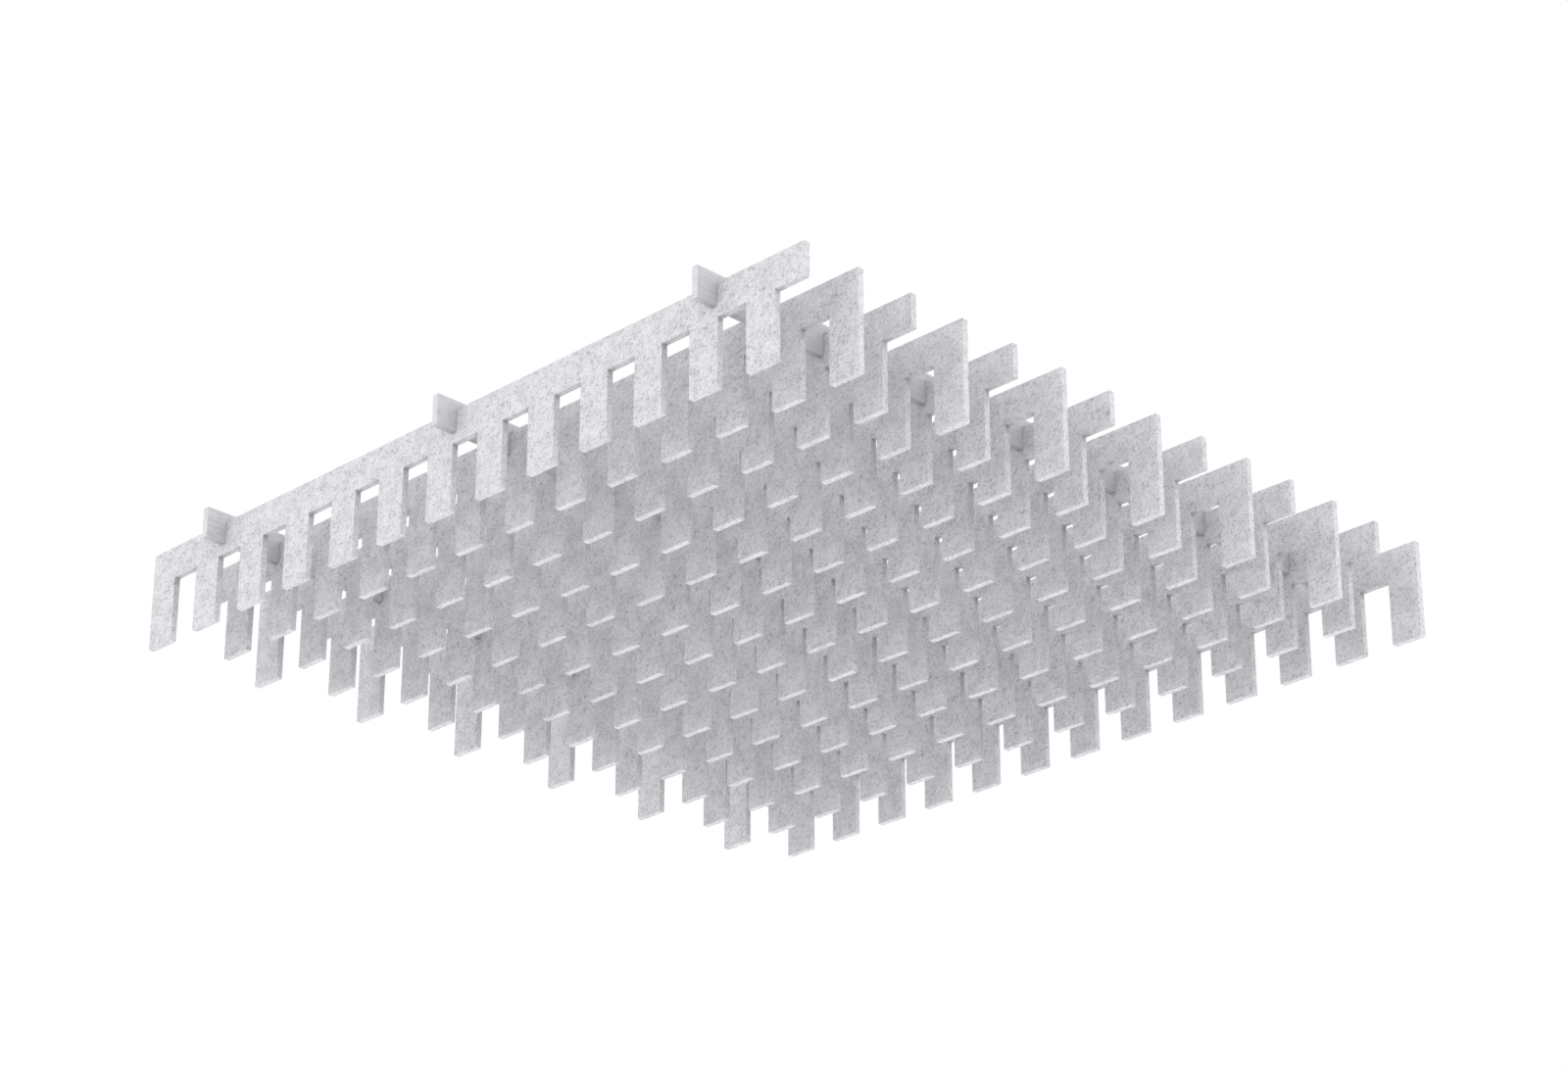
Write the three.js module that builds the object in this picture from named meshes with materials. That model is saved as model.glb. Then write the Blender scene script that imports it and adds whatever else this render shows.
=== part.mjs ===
import * as THREE from 'three';

// Hanging acoustic baffle module, in millimetres, +Z up.
// Comb fins of felt board stand on edge, side by side. Cross ribs of the same board lie across
// them in half-lap slots and carry them. X runs along the fins and Y across them, and the origin
// is at the middle of the middle rib's top edge, where the module hangs.

// Board
const FELT_THICKNESS = 9;

// Fins: combs whose teeth hang from a bar
const FIN_COUNT = 14;
const FIN_SPACING = 88.4; // centre to centre
const TOOTH_COUNT = 13;
const TOOTH_WIDTH = 46.9;
const GAP_WIDTH = 46.9; // between teeth, and the length of bar past the last tooth
const TOOTH_LENGTH = 91;
const BAR_HEIGHT = 45.5;

// Ribs: plain strips across the fins
const RIB_COUNT = 3;
const RIB_SPACING = 461.4; // centre to centre
const RIB_HEIGHT = 42.6;
const RIB_PROUD = 11.3; // height of the ribs' top edges above the fins'
const RIB_OVERHANG = 31.4; // past the outer face of the first and the last fin
const RIB_OFFSET = 1.8; // how far the ribs' middle lies to the right of the fins' middle

// Half-lap joints
const SLOT_GAP = 0.15; // between a board and each side of the slot that it sits in
const SEAT_GAP = 0.3; // between the floors of a joint's two slots

// Felt
const FIN_COLOUR = 0xcfced3;
const RIB_COLOUR = 0xc6c5ca;
const FELT_ROUGHNESS = 0.95;

const toothPitch = TOOTH_WIDTH + GAP_WIDTH;
const finLength = TOOTH_COUNT * toothPitch;
const finHeight = TOOTH_LENGTH + BAR_HEIGHT;
const finRow = (FIN_COUNT - 1) * FIN_SPACING + FELT_THICKNESS; // outer face to outer face
const ribLength = finRow + 2 * RIB_OVERHANG;
const slotWidth = FELT_THICKNESS + 2 * SLOT_GAP;
const slotDepth = (RIB_HEIGHT - RIB_PROUD + SEAT_GAP) / 2; // each board takes half of the overlap
const finPlaces = centredRow(FIN_COUNT, FIN_SPACING); // along Y
const ribPlaces = centredRow(RIB_COUNT, RIB_SPACING); // along X

// Places of evenly spaced things, with their middle at zero
function centredRow(count, spacing) {
  return Array.from({ length: count }, (_, index) => (index - (count - 1) / 2) * spacing);
}

// The four corners of a slot cut into a level edge, from its left side to its right
function slotCorners(centre, edge, floor) {
  const left = centre - slotWidth / 2;
  const right = centre + slotWidth / 2;
  return [[left, edge], [left, floor], [right, floor], [right, edge]];
}

// A comb seen from the front, with its middle at 0 and its tooth tips at height 0. The outline
// runs along the teeth from the toothed left end, and comes back along the slotted top edge.
function combOutline(slotCentres) {
  const start = -finLength / 2;
  const outline = [[start, finHeight]];
  for (let tooth = 0; tooth < TOOTH_COUNT; tooth += 1) {
    const left = start + tooth * toothPitch;
    const right = left + TOOTH_WIDTH;
    if (tooth > 0) {
      outline.push([left, TOOTH_LENGTH]);
    }
    outline.push([left, 0], [right, 0], [right, TOOTH_LENGTH]);
  }
  outline.push([start + finLength, TOOTH_LENGTH], [start + finLength, finHeight]);
  const slots = slotCentres.flatMap((centre) => slotCorners(centre, finHeight, finHeight - slotDepth));
  return outline.concat(slots.reverse());
}

// A rib seen from its side, with its middle at 0, its bottom edge at height 0 and a slot in that
// edge for each fin
function ribOutline(slotCentres) {
  const end = ribLength / 2;
  const slots = slotCentres.flatMap((centre) => slotCorners(centre, 0, slotDepth));
  return [[-end, 0], ...slots, [end, 0], [end, RIB_HEIGHT], [-end, RIB_HEIGHT]];
}

// A board cut to an outline and stood on edge, its thickness centred on its own plane
function feltBoard(name, outline, color) {
  const shape = new THREE.Shape(outline.map(([x, y]) => new THREE.Vector2(x, y)));
  const geometry = new THREE.ExtrudeGeometry(shape, { depth: FELT_THICKNESS, bevelEnabled: false });
  geometry.translate(0, 0, -FELT_THICKNESS / 2);
  const material = new THREE.MeshStandardMaterial({ color, roughness: FELT_ROUGHNESS, metalness: 0 });
  const board = new THREE.Mesh(geometry, material);
  board.name = name;
  board.rotation.x = Math.PI / 2;
  return board;
}

// Every second fin is the same comb turned end for end. Seen from its own front, its slots lie in
// mirrored places, so that they still line up with the ribs.
function makeFins() {
  const fins = new THREE.Group();
  fins.position.set(-RIB_OFFSET, 0, -RIB_PROUD - finHeight);
  finPlaces.forEach((place, index) => {
    const turned = index % 2 === 1;
    const side = turned ? -1 : 1;
    const slotCentres = ribPlaces.map((rib) => side * (rib + RIB_OFFSET));
    slotCentres.sort((a, b) => a - b);
    const number = String(index + 1).padStart(2, '0');
    const holder = new THREE.Group();
    holder.position.y = place;
    holder.rotation.z = turned ? Math.PI : 0;
    holder.add(feltBoard(`fin_${number}`, combOutline(slotCentres), FIN_COLOUR));
    fins.add(holder);
  });
  return fins;
}

function makeRibs() {
  const ribs = new THREE.Group();
  ribs.position.z = -RIB_HEIGHT;
  ribPlaces.forEach((place, index) => {
    const holder = new THREE.Group();
    holder.position.x = place;
    holder.rotation.z = Math.PI / 2;
    holder.add(feltBoard(`rib_${index + 1}`, ribOutline(finPlaces), RIB_COLOUR));
    ribs.add(holder);
  });
  return ribs;
}

const baffle = new THREE.Group();
baffle.add(makeFins(), makeRibs());

export default baffle;
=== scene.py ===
import math

import bpy
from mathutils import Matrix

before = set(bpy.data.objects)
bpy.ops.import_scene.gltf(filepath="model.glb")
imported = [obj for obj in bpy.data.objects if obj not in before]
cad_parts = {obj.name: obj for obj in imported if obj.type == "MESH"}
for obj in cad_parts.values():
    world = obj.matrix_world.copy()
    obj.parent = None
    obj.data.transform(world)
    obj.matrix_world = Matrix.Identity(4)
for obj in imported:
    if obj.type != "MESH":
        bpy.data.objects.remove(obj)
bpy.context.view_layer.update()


# ---- Viewpoint -----------------------------------------------------------------------------
# The module hangs overhead and is seen from below, from beyond the corner where the first fin
# has its bar-only end. The lens is long, so that the fins' lines stay almost parallel.
EYE = (3.3478, -3.3512, -2.1980)  # metres, from the middle of the middle rib's top edge
LOOKS_UP = math.radians(25)
TURNED = math.radians(45)
LENS_MM = 90
SENSOR_MM = 36
FARTHEST = 200

camera_data = bpy.data.cameras.new("viewpoint")
camera_data.lens = LENS_MM
camera_data.sensor_width = SENSOR_MM
camera_data.clip_end = FARTHEST
camera = bpy.data.objects.new("viewpoint", camera_data)
camera.location = EYE
camera.rotation_euler = (math.radians(90) + LOOKS_UP, 0, TURNED)
bpy.context.scene.collection.objects.link(camera)
bpy.context.scene.camera = camera


# ---- Comb fins -----------------------------------------------------------------------------
# Fourteen boards of needled polyester felt, a marl of pale, grey and white fibres, pressed flat
# on its faces and open where cut. Each is cut by knife into a comb and stands on edge, slotted
# from above to take the three cross ribs.
FIN_PALE = (0.713, 0.703, 0.735, 1)
FIN_GREY = (0.298, 0.293, 0.314, 1)
FIN_WHITE = (0.786, 0.778, 0.805, 1)
FIN_LIE = math.radians(38)  # the way most of the fibres lie, up from the board's length
FIN_CURL = 0.0030  # how far a fibre strays, in metres
FIN_FLECK_LENGTH = 0.006
FIN_FLECK_WIDTH = 0.0022
FIN_FACE_SHADE = 0.22  # painted shade: the share of its colour that a pressed face loses where felt closes it in
FIN_EDGE_SHADE = 0.70  # the same painted shade for a cut edge, which is given more of it
SHADE_REACH = 0.14  # metres, to past the next fin, which hangs 0.079 away
RELIEF_STRENGTH = 0.35
RELIEF_HEIGHT = 0.0006
FELT_ROUGHNESS = 0.92
FELT_SHEEN = 0.08
FELT_SHEEN_ROUGHNESS = 0.6
FELT_SHINE = 0.2
EDGE_ROUNDING = 0.00025
EDGE_STEPS = 2
FLAT_WITHIN = math.radians(1)  # faces turned less than this to each other are one flat face
CUT_CORNER = math.radians(30)
SAME_POINT = 1e-5

FLOAT = "NodeSocketFloat"
VECTOR = "NodeSocketVector"
COLOUR = "NodeSocketColor"
BLACK = (0, 0, 0, 1)


def node_group(name, inputs, outputs):
    """A new shader node group, with the sockets that it is given and those that it gives."""
    tree = bpy.data.node_groups.new(name, "ShaderNodeTree")
    for label, kind in inputs.items():
        tree.interface.new_socket(label, in_out="INPUT", socket_type=kind)
    for label, kind in outputs.items():
        tree.interface.new_socket(label, in_out="OUTPUT", socket_type=kind)
    given = tree.nodes.new("NodeGroupInput").outputs
    gives = tree.nodes.new("NodeGroupOutput").inputs
    return tree, given, gives


def blank_nodes(owner):
    """The nodes of a material or a world, emptied."""
    owner.use_nodes = True
    owner.node_tree.nodes.clear()
    return owner.node_tree


def add(tree, kind, values=(), **settings):
    """Adds a node, and joins or sets each input that values names."""
    node = tree.nodes.new(kind)
    for setting, value in settings.items():
        setattr(node, setting, value)
    for socket, value in dict(values).items():
        if isinstance(value, bpy.types.NodeSocket):
            tree.links.new(value, node.inputs[socket])
        else:
            node.inputs[socket].default_value = value
    return node


def reckon(tree, operation, first, second=0.0):
    return add(tree, "ShaderNodeMath", {0: first, 1: second}, operation=operation).outputs[0]


def times(tree, colour, share):
    """A colour or a place, all of it taken so many times."""
    values = {0: colour, "Scale": share}
    return add(tree, "ShaderNodeVectorMath", values, operation="SCALE").outputs[0]


def stretched(tree, place, by):
    """A place, each of its three measures taken so many times."""
    return add(tree, "ShaderNodeVectorMath", {0: place, 1: by}, operation="MULTIPLY").outputs[0]


def noise(tree, place, scale, detail):
    values = {"Vector": place, "Scale": scale, "Detail": detail}
    return add(tree, "ShaderNodeTexNoise", values).outputs


def ramp(tree, value, low, high, start=0.0, end=1.0):
    """value, run from start at low to end at high along a soft S."""
    spread = {"Value": value, "From Min": low, "From Max": high, "To Min": start, "To Max": end}
    return add(tree, "ShaderNodeMapRange", spread, interpolation_type="SMOOTHSTEP").outputs[0]


def blend(tree, share, first, second):
    """Two colours in one. The Mix node takes them in by its sockets 6 and 7."""
    values = {0: share, 6: first, 7: second}
    return add(tree, "ShaderNodeMix", values, data_type="RGBA").outputs[2]


# Fibres that lie one way in the board's plane. The group's Board input is a place in metres:
# along the board, up it, and through its thickness.
STROKE_EDGE = 0.14  # how far the noise runs from a stroke's rim to its core

strokes, given, gives = node_group(
    "felt strokes",
    {"Board": VECTOR, "Angle": FLOAT, "Length": FLOAT, "Width": FLOAT, "Rarity": FLOAT},
    {"Mask": FLOAT},
)
turned = add(
    strokes,
    "ShaderNodeVectorRotate",
    {"Vector": given["Board"], "Angle": given["Angle"]},
    rotation_type="Z_AXIS",
    invert=True,
)
per_length = reckon(strokes, "DIVIDE", 1.0, given["Length"])
per_width = reckon(strokes, "DIVIDE", 1.0, given["Width"])
per_stroke = add(strokes, "ShaderNodeCombineXYZ", {0: per_length, 1: per_width, 2: per_width})
in_strokes = stretched(strokes, turned.outputs[0], per_stroke.outputs[0])
fibre = noise(strokes, in_strokes, scale=1.0, detail=1.0)
core = reckon(strokes, "ADD", given["Rarity"], STROKE_EDGE)
strokes.links.new(ramp(strokes, fibre["Fac"], given["Rarity"], core), gives["Mask"])

# The whole marl: cloudy patches, grey and white flecks lying several ways, fine curled hairs
# and a few dark nubs, as a colour and as a height for the light to catch.
CURLS_PER_METRE = 150
HAIR_SIZE = (0.0090, 0.0006)  # length and width
GREY_RARITY = 0.56
WHITE_RARITY = 0.52
GREY_HAIR_RARITY = 0.57
WHITE_HAIR_RARITY = 0.54
GREY_FLECKS = [(0, 0.36), (42, 0.32), (-42, 0.32)]  # degrees from the way most lie, and strength
GREY_HAIRS = [(20, 0.36), (-70, 0.32)]
WHITE_FLECKS = [(25, 0.30), (-75, 0.26)]
WHITE_HAIRS = [(95, 0.24)]
CLOUDS_PER_METRE = 50
CLOUD_EDGES = (0.36, 0.68)  # the noise where a cloud starts and where it is full
CLOUD_GREY = 0.18
NUBS_PER_METRE = 60
NUB_SIZE = (0.03, 0.09)  # core and rim, as shares of the room between nubs
NUB_RARITY = 0.5
NUB_GREY = 0.8
WHITE_RISE = 0.5  # how far it rises out of the face, as a share of the relief
GREY_RISE = -0.6  # under 0, so that it sinks in
NUB_RISE = -0.5

marl, given, gives = node_group(
    "felt marl",
    {
        "Board": VECTOR,
        "Lie": FLOAT,
        "Spread": FLOAT,
        "Curl": FLOAT,
        "Fleck Length": FLOAT,
        "Fleck Width": FLOAT,
        "Flecks": FLOAT,
        "Pale": COLOUR,
        "Grey": COLOUR,
        "White": COLOUR,
    },
    {"Color": COLOUR, "Height": FLOAT},
)
bends = noise(marl, given["Board"], scale=CURLS_PER_METRE, detail=1.0)
pull = times(marl, bends["Color"], given["Curl"])
bent = add(marl, "ShaderNodeVectorMath", {0: given["Board"], 1: pull}, operation="ADD")


def lay(lots, length, width, rarity):
    """The mask of each lot of fibres, with its strength."""
    laid = []
    for turn, strength in lots:
        away = reckon(marl, "MULTIPLY", given["Spread"], math.radians(turn))
        values = {
            "Board": bent.outputs[0],
            "Angle": reckon(marl, "ADD", given["Lie"], away),
            "Length": length,
            "Width": width,
            "Rarity": rarity,
        }
        mask = add(marl, "ShaderNodeGroup", values, node_tree=strokes).outputs["Mask"]
        laid.append((mask, strength))
    return laid


def total(parts):
    """The sum of masks, each taken so many times."""
    so_far = 0.0
    for mask, share in parts:
        values = {0: mask, 1: share, 2: so_far}
        so_far = add(marl, "ShaderNodeMath", values, operation="MULTIPLY_ADD").outputs[0]
    return so_far


fleck_size = (given["Fleck Length"], given["Fleck Width"])
laid_grey = lay(GREY_FLECKS, *fleck_size, GREY_RARITY)
laid_grey += lay(GREY_HAIRS, *HAIR_SIZE, GREY_HAIR_RARITY)
grey_fibres = total(laid_grey)
laid_white = lay(WHITE_FLECKS, *fleck_size, WHITE_RARITY)
laid_white += lay(WHITE_HAIRS, *HAIR_SIZE, WHITE_HAIR_RARITY)
white_fibres = total(laid_white)
clouds = noise(marl, given["Board"], scale=CLOUDS_PER_METRE, detail=2.0)
cloud = ramp(marl, clouds["Fac"], *CLOUD_EDGES, 0.0, CLOUD_GREY)
nub_cells = add(marl, "ShaderNodeTexVoronoi", {"Vector": given["Board"], "Scale": NUBS_PER_METRE})
nub_draw = add(marl, "ShaderNodeSeparateColor", {0: nub_cells.outputs["Color"]})
nub_shape = ramp(marl, nub_cells.outputs["Distance"], *NUB_SIZE, 1.0, 0.0)
nub_kept = reckon(marl, "GREATER_THAN", nub_draw.outputs[0], NUB_RARITY)
nub = reckon(marl, "MULTIPLY", nub_shape, nub_kept)
fibre_grey = reckon(marl, "MULTIPLY", total([(grey_fibres, 1.0), (cloud, 1.0)]), given["Flecks"])
grey_share = reckon(marl, "MINIMUM", total([(nub, NUB_GREY), (fibre_grey, 1.0)]), 1.0)
white_share = reckon(marl, "MINIMUM", white_fibres, 1.0)
paled = blend(marl, white_share, given["Pale"], given["White"])
height = total([(white_fibres, WHITE_RISE), (grey_fibres, GREY_RISE), (nub, NUB_RISE)])
marl.links.new(blend(marl, grey_share, paled, given["Grey"]), gives["Color"])
marl.links.new(height, gives["Height"])

# Where the knife has cut the board: 1 on a cut edge, 0 on a pressed face. The cut opens the
# inside of the board, where the fibres lie in loose layers, some paler and some greyer.
CUT_TO_PRESSED = (0.45, 0.85)  # how squarely it faces through the board, all cut and all pressed
LAYERS_PER_METRE = (140, 140, 330)  # along the board, up it and through it
LAYER_EDGES = (0.38, 0.62)  # the noise where a layer is greyest and where it is palest
LAYER_TONES = (0.97, 1.07)  # the greyest and the palest layer, as shares of the face's colour

cut_edge, given, gives = node_group(
    "felt cut edge",
    {"Board": VECTOR, "Facing": FLOAT, "Color": COLOUR},
    {"Color": COLOUR, "Mask": FLOAT},
)
squarely = reckon(cut_edge, "ABSOLUTE", given["Facing"])
mask = ramp(cut_edge, squarely, *CUT_TO_PRESSED, 1.0, 0.0)
in_layers = stretched(cut_edge, given["Board"], LAYERS_PER_METRE)
layering = noise(cut_edge, in_layers, scale=1.0, detail=2.0)
tone = ramp(cut_edge, layering["Fac"], *LAYER_EDGES, *LAYER_TONES)
layered = times(cut_edge, given["Color"], tone)
cut_edge.links.new(blend(cut_edge, mask, given["Color"], layered), gives["Color"])
cut_edge.links.new(mask, gives["Mask"])

# Painted shade in corners, where boards meet and where a tooth leaves its bar: the felt's colour
# is darkened by how closely other felt closes a point in, so that it looks darker than in the
# open.
SHADE_FALL = 0.9  # just under 1, so that the shade starts a little sooner
SHADE_SAMPLES = 4

painted_corner_shade, given, gives = node_group(
    "painted corner shade",
    {"Color": COLOUR, "Reach": FLOAT, "Depth": FLOAT},
    {"Color": COLOUR},
)
open_air = add(
    painted_corner_shade,
    "ShaderNodeAmbientOcclusion",
    {"Distance": given["Reach"]},
    samples=SHADE_SAMPLES,
)
closed_in = reckon(painted_corner_shade, "SUBTRACT", 1.0, open_air.outputs["AO"])
fallen = reckon(painted_corner_shade, "POWER", closed_in, SHADE_FALL)
# painted shade, deeper the more closely other felt closes the point in
painted_darkening = reckon(painted_corner_shade, "MULTIPLY", fallen, given["Depth"])
painted_corner_shade.links.new(blend(painted_corner_shade, painted_darkening, given["Color"], BLACK), gives["Color"])


def felt(name, along, through, marl_values, face_shade, edge_shade):
    """Felt for boards on edge, whose length and thickness lie on the two axes named."""
    material = bpy.data.materials.new(name)
    tree = blank_nodes(material)
    place = add(tree, "ShaderNodeTexCoord")
    spot = add(tree, "ShaderNodeSeparateXYZ", {0: place.outputs["Object"]})
    board_values = {0: spot.outputs[along], 1: spot.outputs["Z"], 2: spot.outputs[through]}
    board = add(tree, "ShaderNodeCombineXYZ", board_values).outputs[0]
    facing = add(tree, "ShaderNodeSeparateXYZ", {0: place.outputs["Normal"]})
    marled_values = {"Board": board, **marl_values}
    marled = add(tree, "ShaderNodeGroup", marled_values, node_tree=marl)
    cut_values = {
        "Board": board,
        "Facing": facing.outputs[through],
        "Color": marled.outputs["Color"],
    }
    cut = add(tree, "ShaderNodeGroup", cut_values, node_tree=cut_edge)
    # Painted shade: cut edges are darkened more than pressed faces where felt closes them in.
    depth = ramp(tree, cut.outputs["Mask"], 0.0, 1.0, face_shade, edge_shade)
    shade_values = {"Color": cut.outputs["Color"], "Reach": SHADE_REACH, "Depth": depth}
    shaded = add(tree, "ShaderNodeGroup", shade_values, node_tree=painted_corner_shade)
    relief_values = {
        "Strength": RELIEF_STRENGTH,
        "Distance": RELIEF_HEIGHT,
        "Height": marled.outputs["Height"],
    }
    relief = add(tree, "ShaderNodeBump", relief_values)
    surface_values = {
        "Base Color": shaded.outputs["Color"],
        "Normal": relief.outputs[0],
        "Roughness": FELT_ROUGHNESS,
        "Specular IOR Level": FELT_SHINE,
        "Sheen Weight": FELT_SHEEN,
        "Sheen Roughness": FELT_SHEEN_ROUGHNESS,
    }
    surface = add(tree, "ShaderNodeBsdfPrincipled", surface_values)
    add(tree, "ShaderNodeOutputMaterial", {"Surface": surface.outputs[0]})
    return material


def finish_board(board, material):
    """Gives a cut board its felt, and takes the sharpness off its knife-cut edges."""
    board.data.materials.clear()
    board.data.materials.append(material)
    weld = board.modifiers.new("one skin", "WELD")
    weld.merge_threshold = SAME_POINT
    flatten = board.modifiers.new("flat faces", "DECIMATE")
    flatten.decimate_type = "DISSOLVE"
    flatten.angle_limit = FLAT_WITHIN
    soften = board.modifiers.new("soft edges", "BEVEL")
    soften.width = EDGE_ROUNDING
    soften.segments = EDGE_STEPS
    soften.limit_method = "ANGLE"
    soften.angle_limit = CUT_CORNER
    soften.harden_normals = True


def boards_called(start):
    return [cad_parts[name] for name in sorted(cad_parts) if name.startswith(start)]


fin_marl = {
    "Lie": FIN_LIE,
    "Spread": 1.0,
    "Curl": FIN_CURL,
    "Fleck Length": FIN_FLECK_LENGTH,
    "Fleck Width": FIN_FLECK_WIDTH,
    "Flecks": 1.0,
    "Pale": FIN_PALE,
    "Grey": FIN_GREY,
    "White": FIN_WHITE,
}
fin_felt = felt("fin felt", "X", "Y", fin_marl, FIN_FACE_SHADE, FIN_EDGE_SHADE)
for fin in boards_called("fin_"):
    finish_board(fin, fin_felt)


# ---- Cross ribs ----------------------------------------------------------------------------
# Three plain strips of the same felt, lying across the fins. Each is slotted from below, to sit
# half way down in the fins' own slots, and stands a little above them, where the module is hung.
RIB_PALE = (0.671, 0.663, 0.693, 1)
RIB_GREY = (0.407, 0.400, 0.426, 1)
RIB_LIE = 0.0  # along the strip
RIB_SPREAD = 0.05  # of the fins', so that the fibres draw straight streaks along the strip
RIB_CURL = 0.0004
RIB_FLECK_LENGTH = 0.040
RIB_FLECK_WIDTH = 0.0012
RIB_FLECKS = 0.70  # of the fins' flecks
# Painted shade on the ribs' faces and cut edges, as for the fins, but deeper.
RIB_FACE_SHADE = 0.53
RIB_EDGE_SHADE = 0.88

rib_marl = {
    "Lie": RIB_LIE,
    "Spread": RIB_SPREAD,
    "Curl": RIB_CURL,
    "Fleck Length": RIB_FLECK_LENGTH,
    "Fleck Width": RIB_FLECK_WIDTH,
    "Flecks": RIB_FLECKS,
    "Pale": RIB_PALE,
    "Grey": RIB_GREY,
    "White": FIN_WHITE,
}
rib_felt = felt("rib felt", "Y", "X", rib_marl, RIB_FACE_SHADE, RIB_EDGE_SHADE)
for rib in boards_called("rib_"):
    finish_board(rib, rib_felt)


# ---- Floor ---------------------------------------------------------------------------------
# A plain pale floor, a room's height below the module. It keeps the module's faint shadow,
# fades out towards its rim, and is seen through from underneath.
FLOOR_DROP = 2.6
FLOOR_RADIUS = 12
FLOOR_FADE = (4.0, 11.0)
FLOOR_CORNERS = 96
FLOOR_COLOUR = (0.98, 0.98, 0.98, 1)
FLOOR_SEEN = (0.80, 0.80, 0.80, 1)  # to the eye, so that the shadow on it isn't lost in the white
FLOOR_ROUGHNESS = 0.9
NO_HEIGHT = (1, 1, 0)

corners = [
    (FLOOR_RADIUS * math.cos(turn), FLOOR_RADIUS * math.sin(turn), -FLOOR_DROP)
    for turn in (2 * math.pi * k / FLOOR_CORNERS for k in range(FLOOR_CORNERS))
]
floor_mesh = bpy.data.meshes.new("floor")
floor_mesh.from_pydata(corners, [], [range(FLOOR_CORNERS)])
floor = bpy.data.objects.new("floor", floor_mesh)
bpy.context.scene.collection.objects.link(floor)


def looked_at(tree):
    """1 where the eye falls, straight, in a reflection or through glass, and 0 for other light."""
    rays = add(tree, "ShaderNodeLightPath").outputs
    seen = reckon(tree, "MAXIMUM", rays["Is Camera Ray"], rays["Is Glossy Ray"])
    return reckon(tree, "MAXIMUM", seen, rays["Is Transmission Ray"])


floor_paint = bpy.data.materials.new("floor paint")
tree = blank_nodes(floor_paint)
shade = blend(tree, looked_at(tree), FLOOR_COLOUR, FLOOR_SEEN)
paint_values = {"Base Color": shade, "Roughness": FLOOR_ROUGHNESS}
paint = add(tree, "ShaderNodeBsdfPrincipled", paint_values)
place = add(tree, "ShaderNodeTexCoord")
level = stretched(tree, place.outputs["Object"], NO_HEIGHT)
reach = add(tree, "ShaderNodeVectorMath", {0: level}, operation="LENGTH")
faded = ramp(tree, reach.outputs["Value"], *FLOOR_FADE)
behind = add(tree, "ShaderNodeNewGeometry")
seen_through = reckon(tree, "MAXIMUM", faded, behind.outputs["Backfacing"])
clear = add(tree, "ShaderNodeBsdfTransparent")
mixed_values = {0: seen_through, 1: paint.outputs[0], 2: clear.outputs[0]}
mixed = add(tree, "ShaderNodeMixShader", mixed_values)
add(tree, "ShaderNodeOutputMaterial", {"Surface": mixed.outputs[0]})
floor.data.materials.append(floor_paint)


# ---- Studio light --------------------------------------------------------------------------
# Even white light from all round, as in a white tent, a little above plain white, because the
# floor takes some of it away. The tent looks white to the eye and in reflections.
WHITE = (1, 1, 1, 1)
TENT_LIGHT = 1.19
TENT_SEEN = 1.0

tent = bpy.data.worlds.new("white tent")
tree = blank_nodes(tent)
light = add(tree, "ShaderNodeBackground", {"Color": WHITE, "Strength": TENT_LIGHT})
white = add(tree, "ShaderNodeBackground", {"Color": WHITE, "Strength": TENT_SEEN})
mixed_values = {0: looked_at(tree), 1: light.outputs[0], 2: white.outputs[0]}
mixed = add(tree, "ShaderNodeMixShader", mixed_values)
add(tree, "ShaderNodeOutputWorld", {"Surface": mixed.outputs[0]})
bpy.context.scene.world = tent
bpy.context.scene.view_settings.view_transform = "Standard"
